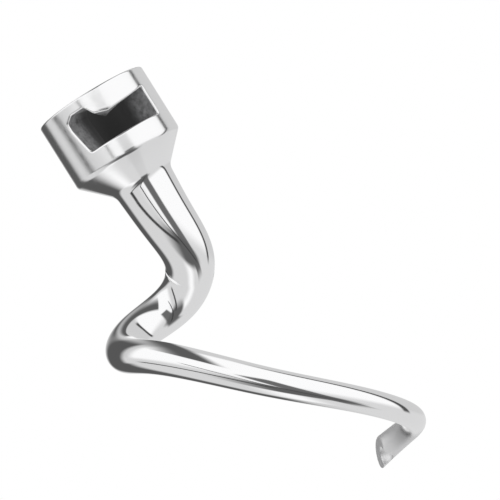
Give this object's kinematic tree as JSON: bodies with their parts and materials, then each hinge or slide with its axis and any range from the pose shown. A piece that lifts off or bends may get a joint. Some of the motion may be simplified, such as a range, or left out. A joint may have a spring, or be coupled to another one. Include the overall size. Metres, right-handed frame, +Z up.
{
  "type": "stand mixer dough hook",
  "caption": "Spiral steel dough hook: a drum with a blind spindle socket and a bayonet window, and a tapering round bar that sweeps round to a dished tip.",
  "frame": {"origin": "middle of the socket's mouth, on the hub's flat top face", "axes": "+Z up the spindle and out of the socket's mouth, -Y towards the middle of the side that holds the bayonet window, +X to the right seen from there"},
  "size_m": [0.0684, 0.0657, 0.1381],
  "materials": {
    "polished_steel": "mirror polished stainless steel"
  },
  "bodies": {
    "root": {"dough_hook": "polished_steel"}
  },
  "joints": []
}
